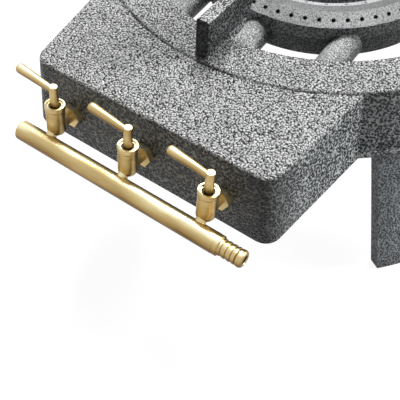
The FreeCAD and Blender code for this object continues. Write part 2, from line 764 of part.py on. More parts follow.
centre_head = revolve("CentreHead", [
    ("centre_burner_radius", seam_z),
    ("centre_burner_radius", crown_z + " - port_band_drop"),
    ("centre_burner_radius - port_band_drop * 1.2", crown_z),
    ("0", crown_z),
    ("0", crown_z + " - channel_wall"),
    ("centre_burner_radius - port_band_drop * 1.4", crown_z + " - channel_wall"),
    ("centre_burner_radius - channel_wall", crown_z + " - port_band_drop - channel_wall / 2"),
    ("centre_burner_radius - channel_wall", seam_z),
])
drill_ports(centre_head, "CentreHeadOuter", "centre_port_count", "centre_burner_radius - port_band_drop * 0.58",
            crown_z + " - port_band_drop * 0.52", outer_slope, "0")
finish(cut("CentreHeadNotched", centre_head, *tube_arches("CentreArch", "middle")), "centre_burner_head")

# manifold

along_x = dict(axis=(0, 1, 0), angle="90")
pipe_bar = revolve("PipeBar", [
    ("0", "-pipe_left_reach"),
    ("pipe_radius", "-pipe_left_reach"),
    ("pipe_radius", "pipe_right_reach"),
    ("0", "pipe_right_reach"),
])
round_edges(pipe_bar, "PipeEdge", "pipe_edge_radius",
            lambda edge: abs(edge.BoundBox.ZMax + number("pipe_left_reach")) < number("pipe_edge_radius") / 10
            and len(edge.Vertexes) == 1)
put(pipe_bar, **along_x)
pipe_bore = cylinder("PipeBore", "pipe_bore_radius", "pipe_left_reach + pipe_right_reach + overrun * 2",
                     x="-pipe_left_reach - overrun", **along_x)
inlet_angle = "atan(pipe_drop / pipe_offset) / 1 deg"
inlet_holes = []
for name, x in taps.items():
    hole = cylinder("PipeInlet_" + name, "inlet_bore_radius", "pipe_radius + overrun")
    inlet_holes.append(put(hole, x, axis=(-1, 0, 0), angle="90 + tap_lean - " + inlet_angle))
pipe = cut("ManifoldPipe", pipe_bar, pipe_bore, *inlet_holes)
finish(pipe, "manifold_pipe", y=pipe_y, z=pipe_z)
end_plug = cylinder("EndPlug", "pipe_bore_radius", "end_plug_length", axis=(0, 1, 0), angle="90")
finish(end_plug, "manifold_end_plug", "-pipe_left_reach", pipe_y, pipe_z, axis=(0, 1, 0), angle="90")

barb_count = 3
barb_pitch = "barb_length * 0.17"
barb_points = [("barb_bore_radius", "-barb_spigot_length"), ("pipe_bore_radius", "-barb_spigot_length"),
               ("pipe_bore_radius", "0"), ("pipe_radius", "0"),
               ("pipe_radius", "barb_length * 0.16"), ("barb_radius", "barb_length * 0.2"),
               ("barb_radius", "barb_length * 0.26")]
for i in range(barb_count):
    start = "(barb_length * 0.26 + %s * %d)" % (barb_pitch, i)
    barb_points.append(("barb_root_radius", start + " + barb_length * 0.01"))
    barb_points.append(("barb_radius", "%s + %s" % (start, barb_pitch)))
barb_points += [("barb_root_radius", "barb_length * 0.78"), ("barb_radius * 1.02", "barb_length * 0.82"),
                ("barb_radius * 1.02", "barb_length * 0.92"), ("barb_root_radius * 0.9", "barb_length"),
                ("barb_bore_radius", "barb_length")]
barb = revolve("HoseBarb", barb_points)
finish(barb, "hose_barb", "pipe_right_reach", pipe_y, pipe_z, **along_x)

# taps

clip_z = "(tap_barrel_top - clip_thickness * 2)"
barrel = revolve("TapBarrel", [
    ("0", "-tap_barrel_bottom"),
    ("tap_barrel_radius", "-tap_barrel_bottom"),
    ("tap_barrel_radius", "tap_barrel_top - tap_collar_height * 1.3"),
    ("tap_collar_radius", "tap_barrel_top - tap_collar_height"),
    ("tap_collar_radius", "tap_barrel_top"),
    ("0", "tap_barrel_top"),
])
round_edges(barrel, "TapBarrelRound", "tap_barrel_round",
            lambda edge: abs(edge.BoundBox.ZMax + number("tap_barrel_bottom")) < number("tap_clearance")
            and len(edge.Vertexes) == 1)
barrel_bore = revolve("TapBore", [
    ("0", "-chamber_depth"),
    ("plug_bottom_radius - plug_way_radius / 4", "-chamber_depth"),
    ("plug_bottom_radius - plug_way_radius / 4", "-plug_bottom - tap_clearance"),
    ("plug_bottom_radius + tap_clearance", "-plug_bottom - tap_clearance"),
    ("plug_top_radius + tap_clearance", "plug_top"),
    ("tap_rim_radius", "plug_top"),
    ("tap_rim_radius", clip_z),
    ("tap_rim_radius + clip_groove", clip_z),
    ("tap_rim_radius + clip_groove", clip_z + " + clip_thickness"),
    ("tap_rim_radius", clip_z + " + clip_thickness"),
    ("tap_rim_radius", "tap_barrel_top + overrun"),
    ("0", "tap_barrel_top + overrun"),
])
inlet_length = "sqrt(pipe_offset ^ 2 + pipe_drop ^ 2)"
inlet = cylinder("TapInlet", "inlet_radius", inlet_length, axis=(1, 0, 0), angle="90 + " + inlet_angle)
inlet_bore = cylinder("TapInletBore", "inlet_bore_radius", inlet_length, axis=(1, 0, 0),
                      angle="90 + " + inlet_angle)
pipe_clear = cylinder("TapPipeSeat", "pipe_radius", "tap_barrel_radius * 4", x="-tap_barrel_radius * 2",
                      y="-pipe_offset", z="-pipe_drop", axis=(0, 1, 0), angle="90")
outlet = cylinder("TapOutlet", "outlet_radius", "outlet_length", axis=(1, 0, 0), angle="-90")
outlet_bore = cylinder("TapOutletBore", "outlet_bore_radius", "outlet_length + overrun", axis=(1, 0, 0),
                       angle="-90")
tap_body = cut("TapBody", fuse("TapSolid", barrel, inlet, outlet), barrel_bore, inlet_bore, outlet_bore,
               pipe_clear)

plug_turned = revolve("PlugTurned", [
    ("0", "-plug_bottom"),
    ("plug_bottom_radius", "-plug_bottom"),
    ("plug_top_radius", "plug_top"),
    ("stem_radius", "plug_top"),
    ("stem_radius", "stem_height"),
    ("0", "stem_height"),
])
round_edges(plug_turned, "StemEdge", "stem_edge_radius",
            lambda edge: abs(edge.BoundBox.ZMin - number("stem_height")) < number("tap_clearance")
            and len(edge.Vertexes) == 1)
plug_duct = cylinder("PlugDuct", "plug_duct_radius", "plug_bottom + plug_way_radius + overrun",
                     z="-plug_bottom - overrun")
plug_way = cylinder("PlugWay", "plug_way_radius", "plug_top_radius + overrun", axis=(0, 1, 0), angle="90")
lever_hole = cylinder("LeverHole", "lever_spigot_radius", "stem_radius * 3", x="stem_radius / 2",
                      z="lever_height - stem_radius / 2 * tan(lever_rise)", axis=(0, 1, 0),
                      angle="-90 + lever_rise")
plug = cut("TapPlug", plug_turned, plug_duct, plug_way, lever_hole)

lever_turned = revolve("LeverTurned", [
    ("0", "stem_radius / 2"),
    ("lever_root_radius", "stem_radius / 2"),
    ("lever_tip_radius", "lever_length"),
    ("0", "lever_length"),
])
round_edges(lever_turned, "LeverTip", "lever_tip_radius * 0.8",
            lambda edge: abs(edge.BoundBox.ZMin - number("lever_length")) < number("tap_clearance")
            and len(edge.Vertexes) == 1)
put(lever_turned, z="lever_height", axis=(0, 1, 0), angle="-90 + lever_rise")
stem_trim = cylinder("StemTrim", "stem_radius", "stem_height")
spigot = cylinder("LeverSpigot", "lever_spigot_radius", "stem_radius * 2", axis=(0, 1, 0),
                  angle="-90 + lever_rise", x="stem_radius / 2",
                  z="lever_height - stem_radius / 2 * tan(lever_rise)")
lever = fuse("TapLever", cut("LeverOutside", lever_turned, stem_trim), spigot)

spring = revolve("TapSpring", [
    ("stem_radius + tap_clearance * 2", "plug_top + tap_clearance"),
    ("stem_radius + tap_clearance * 2 + spring_thickness", "plug_top + tap_clearance"),
    ("tap_rim_radius - tap_clearance * 4", clip_z + " - washer_thickness - spring_thickness"),
    ("tap_rim_radius - tap_clearance * 4", clip_z + " - washer_thickness"),
    ("tap_rim_radius - tap_clearance * 4 - spring_thickness", clip_z + " - washer_thickness"),
    ("stem_radius + tap_clearance * 2", "plug_top + tap_clearance + spring_thickness"),
])
washer = revolve("TapWasher", [
    ("stem_radius + tap_clearance", clip_z + " - washer_thickness"),
    ("tap_rim_radius - tap_clearance", clip_z + " - washer_thickness"),
    ("tap_rim_radius - tap_clearance", clip_z),
    ("stem_radius + tap_clearance", clip_z),
])
clip = revolve("TapClip", [
    ("clip_inner_radius", clip_z),
    ("tap_rim_radius + clip_groove", clip_z),
    ("tap_rim_radius + clip_groove", clip_z + " + clip_thickness"),
    ("clip_inner_radius", clip_z + " + clip_thickness"),
], "360 - clip_gap")
clip_turned = turned("TapClipTurned", clip, "clip_azimuth - 180")

nut_solid = hex_prism("LocknutBlank", "locknut_across", "locknut_thickness", axis=(1, 0, 0), angle="-90",
                      y="locknut_seat - locknut_thickness")
nut_bore = cylinder("LocknutBore", "outlet_radius", "locknut_thickness * 3", axis=(1, 0, 0), angle="-90",
                    y="locknut_seat - locknut_thickness * 2")
locknut = cut("Locknut", nut_solid, nut_bore)
jet_turned = revolve("JetTurned", [
    ("jet_hole_radius", "-jet_length / 2"),
    ("outlet_bore_radius", "-jet_length / 2"),
    ("outlet_bore_radius", "0"),
    ("jet_radius", "0"),
    ("jet_radius", "jet_length / 3"),
    ("jet_radius / 2", "jet_length / 2"),
    ("jet_hole_radius", "jet_length / 2"),
])

pieces = {
    "body": tap_body,
    "plug": plug,
    "lever": lever,
    "spring": spring,
    "washer": washer,
    "clip": clip_turned,
    "locknut": locknut,
}
for name, x in taps.items():
    for tag, source in pieces.items():
        item = turned("Tap_%s_%s" % (name, tag), source, "0")
        finish(item, "tap_%s_%s" % (name, tag), x, "-tap_reach", tap_z, axis=(1, 0, 0), angle="-tap_lean")
    item = turned("Tap_%s_jet" % name, jet_turned, "0")
    jet_y = "-tap_reach + outlet_length * cos(tap_lean)"
    jet_z = tap_z + " - outlet_length * sin(tap_lean)"
    finish(item, "tap_%s_jet" % name, x, jet_y, jet_z, axis=(1, 0, 0), angle="-90 - tap_lean")

doc.recompute()

for item in doc.Objects:
    if "Invalid" in item.State or "Error" in item.State:
        raise RuntimeError("%s failed: %s" % (item.Label, item.State))
os.makedirs("parts", exist_ok=True)
for label, item in nodes.items():
    shape = item.Shape
    if shape.isNull() or not shape.isValid():
        raise RuntimeError(label + " has no valid shape")
    print("%-24s %d solids, %.0f mm3" % (label, len(shape.Solids), shape.Volume))
for label, item in nodes.items():
    item.Shape.exportStep("parts/%s.step" % label)
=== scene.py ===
import json
import math

import bmesh
import bpy
from mathutils import Matrix, Vector


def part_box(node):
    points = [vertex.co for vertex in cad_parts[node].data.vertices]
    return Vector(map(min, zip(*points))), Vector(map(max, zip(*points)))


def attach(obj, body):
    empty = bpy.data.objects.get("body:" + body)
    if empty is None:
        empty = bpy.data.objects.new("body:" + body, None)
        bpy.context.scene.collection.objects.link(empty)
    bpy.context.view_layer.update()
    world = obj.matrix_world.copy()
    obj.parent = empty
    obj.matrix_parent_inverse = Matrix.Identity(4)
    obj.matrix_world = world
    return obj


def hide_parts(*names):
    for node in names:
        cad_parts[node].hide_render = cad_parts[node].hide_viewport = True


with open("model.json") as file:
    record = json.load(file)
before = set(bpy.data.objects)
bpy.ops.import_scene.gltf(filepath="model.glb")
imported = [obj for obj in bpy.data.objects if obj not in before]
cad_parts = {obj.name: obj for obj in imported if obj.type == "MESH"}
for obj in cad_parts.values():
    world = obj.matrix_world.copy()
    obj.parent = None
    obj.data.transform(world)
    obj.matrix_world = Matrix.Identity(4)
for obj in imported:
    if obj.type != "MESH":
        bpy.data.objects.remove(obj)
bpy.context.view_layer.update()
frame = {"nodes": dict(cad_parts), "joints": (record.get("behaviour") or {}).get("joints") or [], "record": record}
nodes = frame["nodes"]
headLow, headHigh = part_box("outer_burner_head")
ringMiddle = (headLow + headHigh) / 2
print("frame loaded:", len(nodes), "nodes")


def feed(tree, socket, value):
    # a socket takes either a link or a value of its own
    if isinstance(value, bpy.types.NodeSocket):
        tree.links.new(value, socket)
    else:
        socket.default_value = value


def addNode(tree, kind, **settings):
    node = tree.nodes.new(kind)
    for key, value in settings.items():
        setattr(node, key, value)
    return node


def addOperation(tree, kind, operation, values):
    node = addNode(tree, kind, operation=operation)
    for socket, value in zip(node.inputs, values):
        feed(tree, socket, value)
    return node


def addMath(tree, operation, *values):
    return addOperation(tree, "ShaderNodeMath", operation, values).outputs["Value"]


def addVector(tree, operation, *values):
    return addOperation(tree, "ShaderNodeVectorMath", operation, values).outputs["Vector"]


def addSpan(tree, operation, *values):
    return addOperation(tree, "ShaderNodeVectorMath", operation, values).outputs["Value"]


def addMix(tree, share, first, second, **settings):
    mix = addNode(tree, "ShaderNodeMix", **settings)
    for key, value in (("Factor", share), ("A", first), ("B", second)):
        feed(tree, mix.inputs[key], value)
    return mix.outputs["Result"]


def darken(tree, colour, by, share=1.0):
    return addMix(tree, share, colour, by, data_type="RGBA", blend_type="MULTIPLY")


def addNoise(tree, place, scale, detail, roughness=0.5):
    noise = addNode(tree, "ShaderNodeTexNoise")
    noise.inputs["Scale"].default_value = scale
    noise.inputs["Detail"].default_value = detail
    noise.inputs["Roughness"].default_value = roughness
    tree.links.new(place, noise.inputs["Vector"])
    return noise


def addRange(tree, value, fromLow, fromHigh, toLow=0.0, toHigh=1.0, smooth=False):
    kind = "SMOOTHSTEP" if smooth else "LINEAR"
    scaled = addNode(tree, "ShaderNodeMapRange", interpolation_type=kind)
    for key, number in (("From Min", fromLow), ("From Max", fromHigh),
                        ("To Min", toLow), ("To Max", toHigh)):
        scaled.inputs[key].default_value = number
    tree.links.new(value, scaled.inputs["Value"])
    return scaled.outputs["Result"]


def addTones(tree, value, stops):
    tones = addNode(tree, "ShaderNodeValToRGB")
    elements = tones.color_ramp.elements
    while len(elements) < len(stops):
        elements.new(0.5)
    for element, (position, colour) in zip(elements, stops):
        element.position = position
        element.color = colour
    tree.links.new(value, tones.inputs["Fac"])
    return tones.outputs["Color"]


def splitXyz(tree, vector):
    parts = addNode(tree, "ShaderNodeSeparateXYZ")
    tree.links.new(vector, parts.inputs[0])
    return parts.outputs


def joinXy(tree, x, y):
    whole = addNode(tree, "ShaderNodeCombineXYZ")
    tree.links.new(x, whole.inputs["X"])
    tree.links.new(y, whole.inputs["Y"])
    return whole.outputs[0]


def addRise(tree, normal):
    # how far a face looks up: 1 for a level top, 0 for an upright wall
    facing = addNode(tree, "ShaderNodeNewGeometry")
    return splitXyz(tree, facing.outputs[normal])["Z"]


def addBump(tree, shader, height, relief, strength=1.0):
    bump = addNode(tree, "ShaderNodeBump")
    bump.inputs["Distance"].default_value = relief
    feed(tree, bump.inputs["Strength"], strength)
    tree.links.new(height, bump.inputs["Height"])
    tree.links.new(bump.outputs["Normal"], shader.inputs["Normal"])


def startMaterial(name):
    material = bpy.data.materials.new(name)
    material.use_nodes = True
    tree = material.node_tree
    return material, tree, tree.nodes["Principled BSDF"]


def fromMiddle(tree, place):
    # the plan view from the ring's middle, and the distance from it
    spot = addVector(tree, "MULTIPLY_ADD", place, (1.0, 1.0, 0.0), (0.0, -ringMiddle.y, 0.0))
    return spot, addSpan(tree, "LENGTH", spot)


flecks = {
    "detail": 3.0,
    "roughness": 0.6,
    "shift": 1.2,
    "crests": 0.70,
    "crestEdge": (0.02, 0.26),
    "unevenEdge": (0.33, 0.66),
    "uneven": 0.50,
}


def addFlecks(tree, place, fleck):
    # hammered relief for the level faces: rounded crests with narrow hollows between them, which the tones paint
    # dark, partly the enamel's own mottle and partly painted shade
    noise = addNoise(tree, place, 1.0 / fleck, flecks["detail"], flecks["roughness"])
    shift = [fleck * flecks["shift"]] * 3
    crests = addNode(tree, "ShaderNodeTexVoronoi", feature="DISTANCE_TO_EDGE")
    crests.inputs["Scale"].default_value = flecks["crests"] / fleck
    tree.links.new(addVector(tree, "MULTIPLY_ADD", noise.outputs["Color"], shift, place),
                   crests.inputs["Vector"])
    crest = addRange(tree, crests.outputs["Distance"], *flecks["crestEdge"], smooth=True)
    uneven = addRange(tree, noise.outputs["Fac"], *flecks["unevenEdge"], smooth=True)
    return addMix(tree, flecks["uneven"], crest, uneven)


pits = {
    "detail": 3.0,
    "shift": 0.8,
    "smoothness": 0.35,
    "edge": (0.14, 0.72),
}


def addPits(tree, place, cell):
    # rounded pits for the upright faces: 0 in a pit, 1 on the network between them
    noise = addNoise(tree, place, 1.0 / cell, pits["detail"])
    shift = [cell * pits["shift"]] * 3
    cells = addNode(tree, "ShaderNodeTexVoronoi", feature="SMOOTH_F1")
    cells.inputs["Scale"].default_value = 1.0 / cell
    cells.inputs["Smoothness"].default_value = pits["smoothness"]
    tree.links.new(addVector(tree, "MULTIPLY_ADD", noise.outputs["Color"], shift, place),
                   cells.inputs["Vector"])
    return addRange(tree, cells.outputs["Distance"], *pits["edge"])


portShade = {
    "count": 60,
    "azimuth": 1.44,
    "circle": 0.09825,
    "slope": 1.45,
    "size": 0.00165,
    "blur": 0.0002,
    "colour": (0.004, 0.004, 0.004, 1.0),
}


def addPortShade(tree, place, colour):
    # painted shade: dark rims round the outer row of flame ports, evenly spaced about the ring's middle, widening
    # the ports' shadow
    count, circle, slope = (portShade[key] for key in ("count", "circle", "slope"))
    pitch = 2 * math.pi * circle / count
    spot, radius = fromMiddle(tree, place)
    parts = splitXyz(tree, spot)
    turn = addMath(tree, "ARCTAN2", parts["Y"], parts["X"])
    ports = addMath(tree, "MULTIPLY_ADD", turn, count / (2 * math.pi),
                    count - portShade["azimuth"] * count / 360.0 + 0.5)
    along = addMath(tree, "MULTIPLY_ADD", addMath(tree, "FRACT", ports), pitch, -pitch / 2)
    down = addMath(tree, "MULTIPLY_ADD", radius, slope, -slope * circle)
    span = addSpan(tree, "LENGTH", joinXy(tree, along, down))
    rim = addRange(tree, span, portShade["size"] + portShade["blur"],
                   portShade["size"] - portShade["blur"], smooth=True)
    return addMix(tree, rim, colour, portShade["colour"], data_type="RGBA")


seamShade = {
    "radius": 0.1815,
    "reach": 0.005,
    "wobble": 0.0022,
    "ramp": [(0.36, (1.0, 1.0, 1.0, 1.0)), (0.43, (0.10, 0.10, 0.10, 1.0)),
             (0.52, (0.18, 0.18, 0.18, 1.0)), (0.59, (1.0, 1.0, 1.0, 1.0))],
    "gapScale": 60.0,
    "gapDetail": 4.0,
    "gaps": [(0.40, (0.25, 0.25, 0.25, 1.0)), (0.56, (1.0, 1.0, 1.0, 1.0))],
}


def addSeamShade(tree, place, colour, relief):
    # painted shade: a dark line along the crevice between the hood and the ring's lip, broken in places where the
    # crevice is filled with enamel
    radius = fromMiddle(tree, place)[1]
    uneven = addMath(tree, "MULTIPLY_ADD", relief, seamShade["wobble"], radius)
    across = addRange(tree, uneven, seamShade["radius"] - seamShade["reach"], seamShade["radius"] + seamShade["reach"])
    filled = addNoise(tree, place, seamShade["gapScale"], seamShade["gapDetail"])
    gaps = addTones(tree, filled.outputs["Fac"], seamShade["gaps"])
    return darken(tree, colour, addTones(tree, across, seamShade["ramp"]), gaps)


prongShade = {
    "height": (0.1885, 0.1915),
    "dark": 0.25,
}

hoodCorner = {
    "place": (0.0958, ringMiddle.y - 0.2392, 0.0),
    "reach": (0.007, 0.034),
    "dark": 0.36,
}


def shadeUprights(tree, place, colour):
    # painted shade: the prongs' sides are darkened, and the hood's upright corners are painted darker than its
    # walls
    parts = splitXyz(tree, place)
    prongShadow = addRange(tree, parts["Z"], *prongShade["height"], 1.0, prongShade["dark"])
    plan = joinXy(tree, addMath(tree, "ABSOLUTE", parts["X"]), parts["Y"])
    away = addSpan(tree, "DISTANCE", plan, hoodCorner["place"])
    corner = addRange(tree, away, *hoodCorner["reach"], hoodCorner["dark"], smooth=True)
    darker = addNode(tree, "ShaderNodeVectorMath", operation="SCALE")
    tree.links.new(colour, darker.inputs[0])
    tree.links.new(addMath(tree, "MULTIPLY", prongShadow, corner), darker.inputs["Scale"])
    return darker.outputs[0]


hammered = {
    "levelEdge": (0.35, 0.75),
    "grain": 1.8,
    "grainDetail": 1.0,
    "grainShare": 0.25,
    "patches": 0.12,
    "patchDetail": 4.0,
    "blotches": [(0.38, (0.80, 0.80, 0.80, 1.0)), (0.62, (1.0, 1.0, 1.0, 1.0))],
    "shelterReach": 0.03,
    "shelterSamples": 6,
    "soot": [(0.15, (0.22, 0.215, 0.21, 1.0)), (0.80, (1.0, 1.0, 1.0, 1.0))],
    "uprightGloss": 0.4,
}


def makeHammered(name, look):
    # hammered enamel: one relief and set of tones for the level faces, another for the upright ones; the two tone
    # sets are painted light and shade, lit and shaded copies of one enamel
    material, tree, shader = startMaterial(name)
    place = addNode(tree, "ShaderNodeTexCoord").outputs["Object"]
    rise = addRise(tree, "True Normal")
    level = addRange(tree, rise, *hammered["levelEdge"], smooth=True)
    relief = addMix(tree, level, addPits(tree, place, look["pitCell"]),
                    addFlecks(tree, place, look["fleck"]))
    grain = addNoise(tree, place, hammered["grain"] / look["fleck"], hammered["grainDetail"])
    height = addMix(tree, hammered["grainShare"], relief, grain.outputs["Fac"])
    # the tones follow the relief's height: the enamel's own mottle, with painted shade in the hollows
    side = addTones(tree, height, look["side"])
    if look["marks"] == "hood":
        side = shadeUprights(tree, place, side)
    # painted light and shade: level faces take one set of tones and upright faces the other, lighter or darker by
    # how the lamps fall on them
    colour = addMix(tree, level, side, addTones(tree, height, look["top"]), data_type="RGBA")
    patches = addNoise(tree, place, hammered["patches"] / look["fleck"], hammered["patchDetail"])
    colour = darken(tree, colour, addTones(tree, patches.outputs["Fac"], hammered["blotches"]))
    # painted shade by facing: the colour darkens with the way a face looks, upright faces on the burner iron and
    # level tops on the ported head
    if look["lit"]:
        colour = darken(tree, colour, addTones(tree, rise, look["lit"]))
    if look["marks"] == "hood":
        colour = addSeamShade(tree, place, colour, relief)
    if look["marks"] == "ports":
        colour = addPortShade(tree, place, colour)
    # painted shade: ambient occlusion darkens the colour in corners, creases and recesses, by each finish's share
    shelter = addNode(tree, "ShaderNodeAmbientOcclusion", samples=hammered["shelterSamples"])
    shelter.inputs["Distance"].default_value = hammered["shelterReach"]
    soot = addTones(tree, shelter.outputs["AO"], hammered["soot"])
    tree.links.new(darken(tree, colour, soot, look["soot"]), shader.inputs["Base Color"])
    addBump(tree, shader, height, look["relief"],
            addRange(tree, level, 0.0, 1.0, 1.0, look["topRelief"]))
    shader.inputs["Roughness"].default_value = look["roughness"]
    gloss = addRange(tree, level, 0.0, 1.0, look["specular"] * hammered["uprightGloss"],
                     look["specular"])
    tree.links.new(gloss, shader.inputs["Specular IOR Level"])
    return material


enamel = {
    "fleck": 0.0014,
    "pitCell": 0.0017,
    "top": [(0.25, (0.0, 0.0, 0.0, 1.0)), (0.38, (0.04, 0.042, 0.042, 1.0)),
            (0.455, (0.74, 0.77, 0.77, 1.0)), (0.52, (1.0, 1.0, 1.0, 1.0))],
    "side": [(0.24, (0.0, 0.0, 0.0, 1.0)), (0.42, (0.034, 0.036, 0.038, 1.0)),
             (0.58, (0.20, 0.21, 0.22, 1.0)), (0.74, (0.80, 0.84, 0.85, 1.0))],
    "lit": None,
    "marks": "hood",
    "soot": 1.0,
    "roughness": 0.25,
    "specular": 0.50,
    "relief": 0.0030,
    "topRelief": 0.9,
}

legEnamel = {
    "fleck": 0.0017,
    "pitCell": 0.0018,
    "top": [(0.24, (0.10, 0.105, 0.11, 1.0)), (0.40, (0.20, 0.21, 0.22, 1.0)),
            (0.58, (0.34, 0.36, 0.38, 1.0)), (0.78, (0.50, 0.52, 0.54, 1.0))],
    "side": [(0.20, (0.11, 0.115, 0.122, 1.0)), (0.40, (0.25, 0.265, 0.28, 1.0)),
             (0.60, (0.45, 0.475, 0.50, 1.0)), (0.80, (0.68, 0.71, 0.74, 1.0))],
    "lit": None,
    "marks": None,
    "soot": 1.0,
    "roughness": 0.42,
    "specular": 0.2,
    "relief": 0.0010,
    "topRelief": 1.0,
}

burnerIron = {
    "fleck": 0.0012,
    "pitCell": 0.0016,
    "top": [(0.24, (0.18, 0.185, 0.185, 1.0)), (0.38, (0.42, 0.435, 0.44, 1.0)),
            (0.54, (0.70, 0.72, 0.72, 1.0)), (0.74, (1.0, 1.0, 1.0, 1.0))],
    "side": [(0.20, (0.03, 0.032, 0.032, 1.0)), (0.38, (0.12, 0.127, 0.13, 1.0)),
             (0.58, (0.26, 0.27, 0.275, 1.0)), (0.78, (0.50, 0.52, 0.52, 1.0))],
    "lit": [(0.0, (0.55, 0.55, 0.55, 1.0)), (0.35, (0.80, 0.80, 0.80, 1.0)),
            (0.97, (1.0, 1.0, 1.0, 1.0))],
    "marks": None,
    "soot": 1.0,
    "roughness": 0.34,
    "specular": 0.45,
    "relief": 0.0012,
    "topRelief": 1.0,
}

portedHead = {
    "fleck": 0.0012,
    "pitCell": 0.0016,
    "top": [(0.18, (0.26, 0.27, 0.27, 1.0)), (0.30, (0.50, 0.515, 0.515, 1.0)),
            (0.42, (0.78, 0.80, 0.80, 1.0)), (0.52, (0.88, 0.90, 0.90, 1.0))],
    "side": burnerIron["side"],
    "lit": [(0.86, (1.0, 1.0, 1.0, 1.0)), (0.97, (0.22, 0.225, 0.225, 1.0))],
    "marks": "ports",
    "soot": 0.1,
    "roughness": 0.34,
    "specular": 0.45,
    "relief": 0.0004,
    "topRelief": 1.0,
}

metal = {
    "drawn": (0.16, 1.0, 1.0),
    "tarnishScale": 150.0,
    "tarnishDetail": 6.0,
    "tarnishEdge": (0.3, 0.7),
    "tarnishShare": (-0.20, 0.06),
    "riseEdge": (-0.6, 1.0),
    "stops": (("under", 0.08), ("low", 0.34), ("side", 0.54), ("upper", 0.88), ("crown", 1.0)),
    "grainScale": 900.0,
    "grainDetail": 2.0,
}


def makeMetal(name, look):
    # satin metal: painted light and shade, bright where it faces up and dark below, with stains and a fine grain
    material, tree, shader = startMaterial(name)
    place = addNode(tree, "ShaderNodeTexCoord").outputs["Object"]
    drawn = addVector(tree, "MULTIPLY", place, metal["drawn"])
    tarnish = addNoise(tree, drawn, metal["tarnishScale"], metal["tarnishDetail"])
    stain = addRange(tree, tarnish.outputs["Fac"], *metal["tarnishEdge"], *metal["tarnishShare"])
    # painted highlight and shade: the tones run from dark on faces looking down to bright on faces looking up
    height = addRange(tree, addRise(tree, "Normal"), *metal["riseEdge"])
    stops = [(position, look[key]) for key, position in metal["stops"]]
    tones = addTones(tree, addMath(tree, "ADD", height, stain), stops)
    tree.links.new(tones, shader.inputs["Base Color"])
    grain = addNoise(tree, place, metal["grainScale"], metal["grainDetail"])
    addBump(tree, shader, grain.outputs["Fac"], look["relief"])
    shader.inputs["Metallic"].default_value = 1.0
    shader.inputs["Roughness"].default_value = look["roughness"]
    return material


brass = {
    "under": (0.07, 0.040, 0.012, 1.0),
    "low": (0.16, 0.092, 0.028, 1.0),
    "side": (0.34, 0.220, 0.080, 1.0),
    "upper": (0.61, 0.475, 0.225, 1.0),
    "crown": (0.88, 0.80, 0.53, 1.0),
    "roughness": 0.33,
    "relief": 0.00005,
}

bodyBrass = {
    "under": (0.16, 0.105, 0.036, 1.0),
    "low": (0.44, 0.315, 0.130, 1.0),
    "side": (0.59, 0.445, 0.205, 1.0),
    "upper": (0.70, 0.565, 0.305, 1.0),
    "crown": (0.86, 0.80, 0.54, 1.0),
    "roughness": 0.36,
    "relief": 0.00005,
}

nutBrass = {
    "under": (0.26, 0.16, 0.05, 1.0),
    "low": (0.50, 0.36, 0.15, 1.0),
    "side": (0.68, 0.53, 0.27, 1.0),
    "upper": (0.84, 0.76, 0.50, 1.0),
    "crown": (0.92, 0.86, 0.62, 1.0),
    "roughness": 0.42,
    "relief": 0.00003,
}

springBrass = {
    "under": (0.14, 0.08, 0.022, 1.0),
    "low": (0.36, 0.24, 0.09, 1.0),
    "side": (0.55, 0.43, 0.20, 1.0),
    "upper": (0.76, 0.66, 0.39, 1.0),
    "crown": (0.92, 0.85, 0.60, 1.0),
    "roughness": 0.28,
    "relief": 0.00003,
}

# painted shade: the washers deep in the taps' mouths are painted near black, standing in for the shade there
sootyBrass = {
    "under": (0.010, 0.007, 0.003, 1.0),
    "low": (0.02, 0.014, 0.006, 1.0),
    "side": (0.03, 0.022, 0.010, 1.0),
    "upper": (0.05, 0.036, 0.016, 1.0),
    "crown": (0.07, 0.052, 0.024, 1.0),
    "roughness": 0.5,
    "relief": 0.00003,
}

steel = {
    "under": (0.10, 0.09, 0.07, 1.0),
    "low": (0.24, 0.22, 0.18, 1.0),
    "side": (0.36, 0.34, 0.29, 1.0),
    "upper": (0.48, 0.46, 0.40, 1.0),
    "crown": (0.60, 0.58, 0.52, 1.0),
    "roughness": 0.36,
    "relief": 0.00005,
}

finishes = {
    "hammered_enamel": makeHammered("hammeredEnamel", enamel),
    "leg_enamel": makeHammered("legEnamel", legEnamel),
    "burner_iron": makeHammered("burnerIron", burnerIron),
    "ported_head": makeHammered("portedHead", portedHead),
    "brass": makeMetal("satinBrass", brass),
    "zinc_steel": makeMetal("zincSteel", steel),
    "spring_steel": makeMetal("springBrass", springBrass),
    "body_brass": makeMetal("bodyBrass", bodyBrass),
    "nut_brass": makeMetal("nutBrass", nutBrass),
    "sooty_brass": makeMetal("sootyBrass", sootyBrass),
}
slotOf = {part["node"]: part["material_slot"] for part in frame["record"]["subparts"]}


def finishOf(name):
    if name.startswith("leg_") and "bolt" not in name:
        return "leg_enamel"
    if name.endswith("burner_head"):
        return "ported_head"
    if name.startswith("tap_") and name.endswith(("_body", "_plug")):
        return "body_brass"
    if name.endswith("locknut"):
        return "nut_brass"
    # painted shade: washers take the near-black brass that stands in for the shade in the taps' mouths
    if name.endswith("washer"):
        return "sooty_brass"
    return slotOf[name]


for name, node in nodes.items():
    node.data.materials.clear()
    node.data.materials.append(finishes[finishOf(name)])
print("finishes given to the castings and the brass")

sharpAngle = 28


